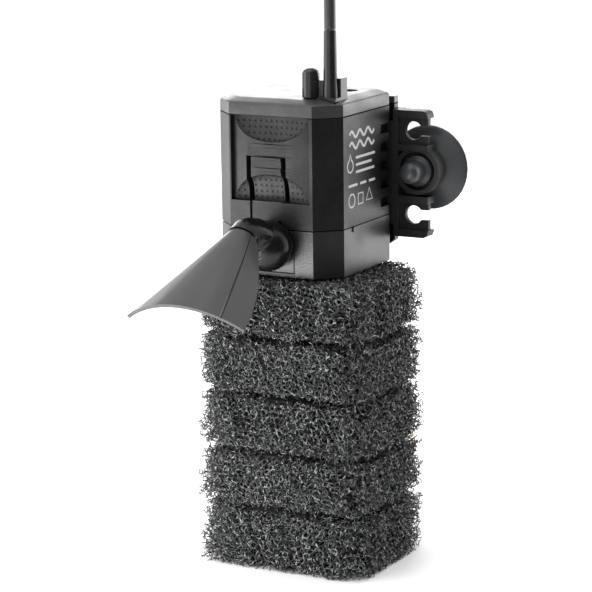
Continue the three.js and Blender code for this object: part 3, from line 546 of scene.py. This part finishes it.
FOAM_SEED = 7
FOAM_CELL = 2.2 * MM
FOAM_TURN = (0.5, 0.35, 0.6)
FOAM_WARP, FOAM_JITTER = 0.9, 0.13  # how far joints move, in cells: together over a few cells, and each alone
STRAND = 0.19 * MM
STRAND_THICKNESS, STRAND_LAP, STRAND_SIDES = (0.75, 1.3), 0.4, 3  # thickness and lap in strand widths
EDGE_THINNED = 0.3  # how much slimmer the strands are at the block's upright edges
SKIN_DEPTH, TOP_DEPTH, EDGE_DEPTH = 3.6 * MM, 2.6 * MM, 11 * MM
CORE_INSET, CORE_TOP_INSET, CORE_CORNER = 3.2 * MM, 2.4 * MM, 19 * MM
FOAM_CORNER = 2.5 * MM
GROOVES = [z * MM for z in (21, 40.3, 59.8, 79.4)]
GROOVE_DEPTH, GROOVE_HALF, GROOVE_FLARE = 6.5 * MM, 0.5 * MM, 1.0 * MM
GROOVE_FRAY, GROOVE_WAVER, EDGE_LOSS = 0.55 * MM, 0.35 * MM, 0.72
BORE_RADIUS, BORE_FLOOR, BORE_AXIS = 9.6 * MM, 18 * MM, np.array([0, -2 * MM])
STRANDS_UNDER_BORE = 16 * MM
SIDE_MARGIN, END_MARGIN = 0.1 * MM, 0.2 * MM
CORE_SIDES, GROOVE_CORE = 48, 0.86


def foam_distance(p, rng):
    """How deep each point lies under the block's sides, and under its ends; negative when outside."""
    low, high = (np.array(v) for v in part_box("filter_sponge"))
    centre, half = (low + high) / 2, (high - low) / 2
    away = np.abs(p - centre) - half
    side = away[:, :2] + FOAM_CORNER
    flat = FOAM_CORNER - (np.linalg.norm(np.maximum(side, 0), axis=1) + np.minimum(side.max(1), 0))
    upright = -away[:, 2]
    open_side = flat.copy()
    fray = rng.normal(size=len(p)) * GROOVE_FRAY
    for middle in GROOVES:
        waver = GROOVE_WAVER * np.sin(p[:, 0] * 310 + p[:, 1] * 230 + middle * 900) + fray
        reach = 1 - np.clip(flat / GROOVE_DEPTH, 0, 1)
        beside = np.abs(p[:, 2] - middle - waver) - GROOVE_HALF - GROOVE_FLARE * reach**4
        open_side = np.minimum(open_side, np.maximum(beside, flat - GROOVE_DEPTH))
    return open_side, upright


def noise_field(p, wavelength, rng):
    """A smooth random vector at each point: a few sine waves with seeded directions."""
    out = np.zeros_like(p)
    for _ in range(6):
        k = rng.normal(size=(3, 3))
        k /= np.linalg.norm(k, axis=1, keepdims=True)
        k *= 2 * math.pi / (wavelength * rng.uniform(0.7, 1.5, (3, 1)))
        out += np.sin(p @ k.T + rng.uniform(0, 2 * math.pi, 3)) / 6
    return out


CELL_JOINTS = [[0, 1, 2], [0, 2, 1], [1, 0, 2], [2, 0, 1], [1, 2, 0], [2, 1, 0],
               [0, 3, 2], [0, 2, 3], [3, 0, 2], [2, 0, 3], [3, 2, 0], [2, 3, 0]]
STRAND_STEPS = [(0, 1, 1), (0, 1, -1), (1, 0, 1), (1, 0, -1), (1, 1, 0), (1, -1, 0)]


def foam_net(low, high, rng):
    """Joints and strands of an open-cell foam: the edges of packed fourteen-sided cells, moved at random."""
    middle = (low + high) / 2
    turn = np.array(Euler(FOAM_TURN).to_matrix())
    reach = int(np.linalg.norm(high - low) / 2 / FOAM_CELL) + 2
    line = np.arange(-reach, reach)
    cells = np.stack(np.meshgrid(line, line, line, indexing="ij"), -1).reshape(-1, 3)
    places = cells @ turn.T * FOAM_CELL + middle
    cells = cells[((places > low - 2 * FOAM_CELL) & (places < high + 2 * FOAM_CELL)).all(1)]
    spots = np.unique((cells[:, None] * 4 + np.array(CELL_JOINTS)).reshape(-1, 3), axis=0)
    keys = spot_keys(spots)
    order = np.argsort(keys)
    keys, spots = keys[order], spots[order]
    edges = []
    for step in STRAND_STEPS:
        other = spot_keys(spots + np.array(step))
        at = np.searchsorted(keys, other)
        at[at == len(keys)] = 0
        found = keys[at] == other
        edges.append(np.stack([np.flatnonzero(found), at[found]], 1))
    points = spots @ turn.T * (FOAM_CELL / 4) + middle
    points += noise_field(points, 5 * FOAM_CELL, rng) * FOAM_CELL * FOAM_WARP
    points += rng.normal(size=points.shape) * FOAM_CELL * FOAM_JITTER
    return points, np.concatenate(edges)


def spot_keys(spots):
    """One whole number for each lattice spot, so that neighbours can be looked up."""
    wide = 100003
    return (spots[:, 0] * wide + spots[:, 1]) * wide + spots[:, 2]


def hanging_together(edges, count):
    """Only the strands of the largest connected net, so that no loose bits float beside the block."""
    label = np.arange(count)
    settled = False
    while not settled:
        before = label.copy()
        lowest = np.minimum(label[edges[:, 0]], label[edges[:, 1]])
        np.minimum.at(label, edges[:, 0], lowest)
        np.minimum.at(label, edges[:, 1], lowest)
        label = label[label]
        settled = (label == before).all()
    net = label[edges[:, 0]]
    return edges[net == np.bincount(net).argmax()]


def strand_mesh(points, edges, thin, rng):
    """Each strand as a slim prism between its two joints."""
    a, b = points[edges[:, 0]], points[edges[:, 1]]
    along = b - a
    long = np.linalg.norm(along, axis=1, keepdims=True)
    along /= np.maximum(long, 1e-9)
    helper = np.where(np.abs(along[:, 2:]) < 0.8, [[0, 0, 1.0]], [[1.0, 0, 0]])
    u = np.cross(along, helper)
    u /= np.linalg.norm(u, axis=1, keepdims=True)
    v = np.cross(along, u)
    start = rng.uniform(0, 2 * math.pi, (len(a), 1))
    size = STRAND * rng.uniform(*STRAND_THICKNESS, (len(a), 1))
    size *= (1 - EDGE_THINNED * thin[edges[:, 0]])[:, None]
    rings = []
    for place in (a - along * STRAND * STRAND_LAP, b + along * STRAND * STRAND_LAP):
        for k in range(STRAND_SIDES):
            angle = start + 2 * math.pi * k / STRAND_SIDES
            rings.append(place + (np.cos(angle) * u + np.sin(angle) * v) * size)
    made = np.stack(rings, 1).reshape(-1, 3)
    first = np.arange(len(a))[:, None] * 2 * STRAND_SIDES
    faces = []
    for k in range(STRAND_SIDES):
        here, beside = first + k, first + (k + 1) % STRAND_SIDES
        faces.append(np.concatenate([here, beside, beside + STRAND_SIDES, here + STRAND_SIDES], 1))
    return made, np.stack(faces, 1).reshape(-1, 4)


def quads_piece(name, points, faces, material, body):
    mesh = bpy.data.meshes.new(name)
    mesh.vertices.add(len(points))
    mesh.vertices.foreach_set("co", points.astype(np.float32).ravel())
    mesh.loops.add(faces.size)
    mesh.loops.foreach_set("vertex_index", faces.astype(np.int32).ravel())
    mesh.polygons.add(len(faces))
    mesh.polygons.foreach_set("loop_start", np.arange(0, faces.size, 4, dtype=np.int32))
    mesh.polygons.foreach_set("use_smooth", np.ones(len(faces), bool))
    mesh.update(calc_edges=True)
    mesh.materials.append(material)
    piece = bpy.data.objects.new(name, mesh)
    bpy.context.scene.collection.objects.link(piece)
    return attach(piece, body)


def make_foam(kinds):
    rng = np.random.default_rng(FOAM_SEED)
    low, high = (np.array(v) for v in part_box("filter_sponge"))
    points, edges = foam_net(low, high, rng)
    side, upright = foam_distance(points, rng)
    centre, half = (low + high) / 2, (high - low) / 2
    to_sides = half[:2] - np.abs(points[:, :2] - centre[:2])
    near_edge = to_sides.max(1) < EDGE_DEPTH
    thin = 1 - np.clip(to_sides.max(1) / EDGE_DEPTH, 0, 1)
    worn = rng.uniform(size=len(points)) < EDGE_LOSS * thin
    inside = (side > SIDE_MARGIN) & (upright > END_MARGIN)
    shown = (side < SKIN_DEPTH) | (upright < TOP_DEPTH) | near_edge
    beside_bore = np.linalg.norm(points[:, :2] - BORE_AXIS, axis=1) > BORE_RADIUS
    clear = beside_bore | (points[:, 2] < STRANDS_UNDER_BORE)
    edges = edges[(inside & shown & clear & ~worn)[edges].all(1)]
    edges = hanging_together(edges, len(points))
    levels = [-1.0, *GROOVES, 1.0]  # the slabs meet in the grooves
    middle = (points[edges[:, 0]] + points[edges[:, 1]]) / 2
    rear = middle[:, 1] > centre[1]
    for i, (bottom, top) in enumerate(zip(levels, levels[1:])):
        level = (middle[:, 2] >= bottom) & (middle[:, 2] < top)
        for side_name, chosen in (("front", level & ~rear), ("rear", level & rear)):
            made = strand_mesh(points, edges[chosen], thin, rng)
            slab = quads_piece(f"foam_{side_name}_{i + 1}", *made, kinds["foam"], "sponge")
    core = foam_shade_core(kinds)
    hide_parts("filter_sponge")


def foam_shade_core(kinds):
    """The block's inside behind the strands: an eight-sided post around the intake's bore, painted near-black
    as painted shade deep among the pores.
    """
    low, high = (np.array(v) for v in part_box("filter_sponge"))
    low[:2] += CORE_INSET
    high[:2] -= CORE_INSET
    low[2] += CORE_TOP_INSET
    high[2] -= CORE_TOP_INSET
    c = CORE_CORNER
    plan = [(low[0] + c, low[1]), (high[0] - c, low[1]), (high[0], low[1] + c), (high[0], high[1] - c),
            (high[0] - c, high[1]), (low[0] + c, high[1]), (low[0], high[1] - c), (low[0], low[1] + c)]
    angles = [2 * math.pi * k / CORE_SIDES for k in range(CORE_SIDES)]
    outer = [ray_to(plan, a) for a in angles]
    inner = [BORE_AXIS + BORE_RADIUS * np.array([math.cos(a), math.sin(a)]) for a in angles]
    rings = [[(*p, low[2]) for p in outer]]
    for middle in GROOVES:
        for z, share in ((-2 * GROOVE_HALF, 1), (0, GROOVE_CORE), (2 * GROOVE_HALF, 1)):
            rings.append([(*(BORE_AXIS + (p - BORE_AXIS) * share), middle + z) for p in outer])
    rings += [[(*p, high[2]) for p in outer], [(*p, high[2]) for p in inner]]
    rings.append([(*p, BORE_FLOOR) for p in inner])
    n = CORE_SIDES
    faces = [(r * n + k, r * n + (k + 1) % n, (r + 1) * n + (k + 1) % n, (r + 1) * n + k)
             for r in range(len(rings) - 1) for k in range(n)]
    faces += [tuple(range(n))[::-1], tuple((len(rings) - 1) * n + k for k in range(n))]
    points = [p for ring in rings for p in ring]
    piece = new_piece("foam_shade_core", points, faces, kinds["core"], "sponge")
    return piece


def ray_to(plan, angle):
    """Where a ray from the bore's axis leaves a convex outline."""
    direction = np.array([math.cos(angle), math.sin(angle)])
    best = 1.0
    for (ax, ay), (bx, by) in zip(plan, plan[1:] + plan[:1]):
        normal = np.array([by - ay, ax - bx])
        facing = normal @ direction
        if facing > 1e-9:
            best = min(best, normal @ (np.array([ax, ay]) - BORE_AXIS) / facing)
    return BORE_AXIS + direction * best


# ---- the CAD nodes that stay --------------------------------------------------------------------

NODE_KINDS = {
    "casing": ["rotor_well", "intake_strainer"],
    "holder": ["suction_cup_holder"],
    "pump": ["lower_casing", "outlet_insert"],
    "gloss": ["fan_deflector"],
    "peg": ["hose_parking_peg"],
    "elbow": ["outlet_elbow"],
    "soft": ["cord_gland", "chamber_seal_ring", "coil_tie", "plug_body"],
    "rubber": ["suction_cup", "upper_shaft_bush", "lower_shaft_bush"],
    "steel": ["stator_core"],
    "brass": ["plug_pin_left", "plug_pin_right"],
    "copper": ["coil_winding"],
    "nylon": ["coil_bobbin", "impeller"],
    "ceramic": ["ceramic_shaft"],
    "ferrite": ["rotor_magnet"],
    "resin": ["potting_resin"],
}
# The width of the small round on each moulded part's edges, in millimetres.
EDGE_ROUNDS = {
    "motor_head_shell": 0.3, "lower_casing": 0.3, "top_cover": 0.35, "release_latch_tongue": 0.25,
    "outlet_insert": 0.25, "hose_parking_peg": 0.3, "cord_gland": 0.4, "outlet_elbow": 0.4,
    "fan_deflector": 0.2, "suction_cup": 0.3, "plug_body": 0.8, "coil_tie": 0.3,
}
HOLDER_ROUND, HOLDER_ANGLE = 0.2, 60  # only the holder's square edges are rounded, not its cut corners


def dress_nodes(kinds):
    for kind, nodes in NODE_KINDS.items():
        for node in nodes:
            give(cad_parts[node], kinds[kind])
    for node, width in EDGE_ROUNDS.items():
        soften(node, width * MM)
    soften("suction_cup_holder", HOLDER_ROUND * MM, angle=HOLDER_ANGLE)


def dress_head():
    """The head, its latch and its cover, whose materials follow the grip and paint shade into the parting
    line.
    """
    for node in ("motor_head_shell", "release_latch_tongue"):
        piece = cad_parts[node]
        give(piece, grip_material(f"{node}_grip", piece.matrix_world.translation))
    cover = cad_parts["top_cover"]
    give(cover, cover_material(cover.matrix_world.translation))


# ---- printed marks ------------------------------------------------------------------------------

SIDE_FACE = 23 * MM
PRINT_DEPTH, PRINT_LINE, BAR_LINE, WAVE_LINE = (v * MM for v in (0.06, 0.55, 0.85, 0.95))
# The marks on the right side face, in millimetres along it from its middle and up from the floor. A shape has
# its place, radius, number of sides and first corner's angle.
WAVES, WAVE_START, WAVE_LENGTH, WAVE_RISE, WAVE_STEPS = (146.5, 142.8), -10, 18, 1.1, 24
DROP, DROP_RADIUS, DROP_SIDES, DROP_TIP = (-9.6, 136.2), 2.1, 16, 1.8 * MM
BARS = [(138.6, -5.5, 8.5), (136.2, -5.5, 6.0), (133.8, -5.5, 8.0),
        (129.6, -11.0, -4.5), (129.6, -2.5, 2.0), (129.6, 4.0, 8.5)]
SHAPES_HEIGHT = 124.6
SHAPES = [(-8.6, 2.2, 24, 0), (-2.2, 2.5, 4, math.pi / 4), (4.2, 2.6, 3, math.pi / 2)]


def ribbon(line, width, closed=False):
    """A flat, closed strip along a line in (y, z) on the right side face."""
    line = [Vector(p) for p in line]
    count = len(line)
    points, faces = [], []
    for k, place in enumerate(line):
        before = line[k - 1] if closed or k else line[k]
        after = line[(k + 1) % count] if closed or k + 1 < count else line[k]
        along = (after - before).normalized()
        out = Vector((-along.y, along.x)) * width / 2
        for edge in (place + out, place - out):
            points += [(SIDE_FACE - PRINT_DEPTH, *edge), (SIDE_FACE + PRINT_DEPTH, *edge)]
    for k in range(count if closed else count - 1):
        a, b = 4 * k, 4 * ((k + 1) % count)
        faces += [(a, a + 1, b + 1, b), (a + 1, a + 3, b + 3, b + 1)]
        faces += [(a + 3, a + 2, b + 2, b + 3), (a + 2, a, b, b + 2)]
    if not closed:
        end = 4 * (count - 1)
        faces += [(0, 2, 3, 1), (end, end + 1, end + 3, end + 2)]
    return points, faces


def loop_of(y, z, radius, sides, start):
    """A regular outline about a place, given in millimetres."""
    turns = [start + 2 * math.pi * k / sides for k in range(sides)]
    return [((y + radius * math.cos(t)) * MM, (z + radius * math.sin(t)) * MM) for t in turns]


def make_print(kinds):
    """Plain pale marks where such a filter carries its data: waves, a drop, bars and three simple shapes."""
    strips = []
    for z in WAVES:
        along = [WAVE_START + WAVE_LENGTH * k / WAVE_STEPS for k in range(WAVE_STEPS + 1)]
        heights = [z + WAVE_RISE * math.sin(k * math.pi / 4) for k in range(WAVE_STEPS + 1)]
        wave = [(y * MM, height * MM) for y, height in zip(along, heights)]
        strips.append(ribbon(wave, WAVE_LINE))
    drop = loop_of(*DROP, DROP_RADIUS, DROP_SIDES, math.pi / 2)
    drop[0] = (drop[0][0], drop[0][1] + DROP_TIP)
    strips.append(ribbon(drop, PRINT_LINE, closed=True))
    for z, start, end in BARS:
        strips.append(ribbon([(start * MM, z * MM), (end * MM, z * MM)], BAR_LINE))
    for y, radius, sides, start in SHAPES:
        strips.append(ribbon(loop_of(y, SHAPES_HEIGHT, radius, sides, start), PRINT_LINE, closed=True))
    points, faces = [], []
    for more, around in strips:
        faces += [tuple(len(points) + i for i in face) for face in around]
        points += more
    marks = new_piece("printed_marks", points, faces, kinds["print"], "head")


kinds = make_materials()
make_camera()
make_studio()
make_cord(kinds)
dress_nodes(kinds)
dress_head()
make_print(kinds)
make_foam(kinds)
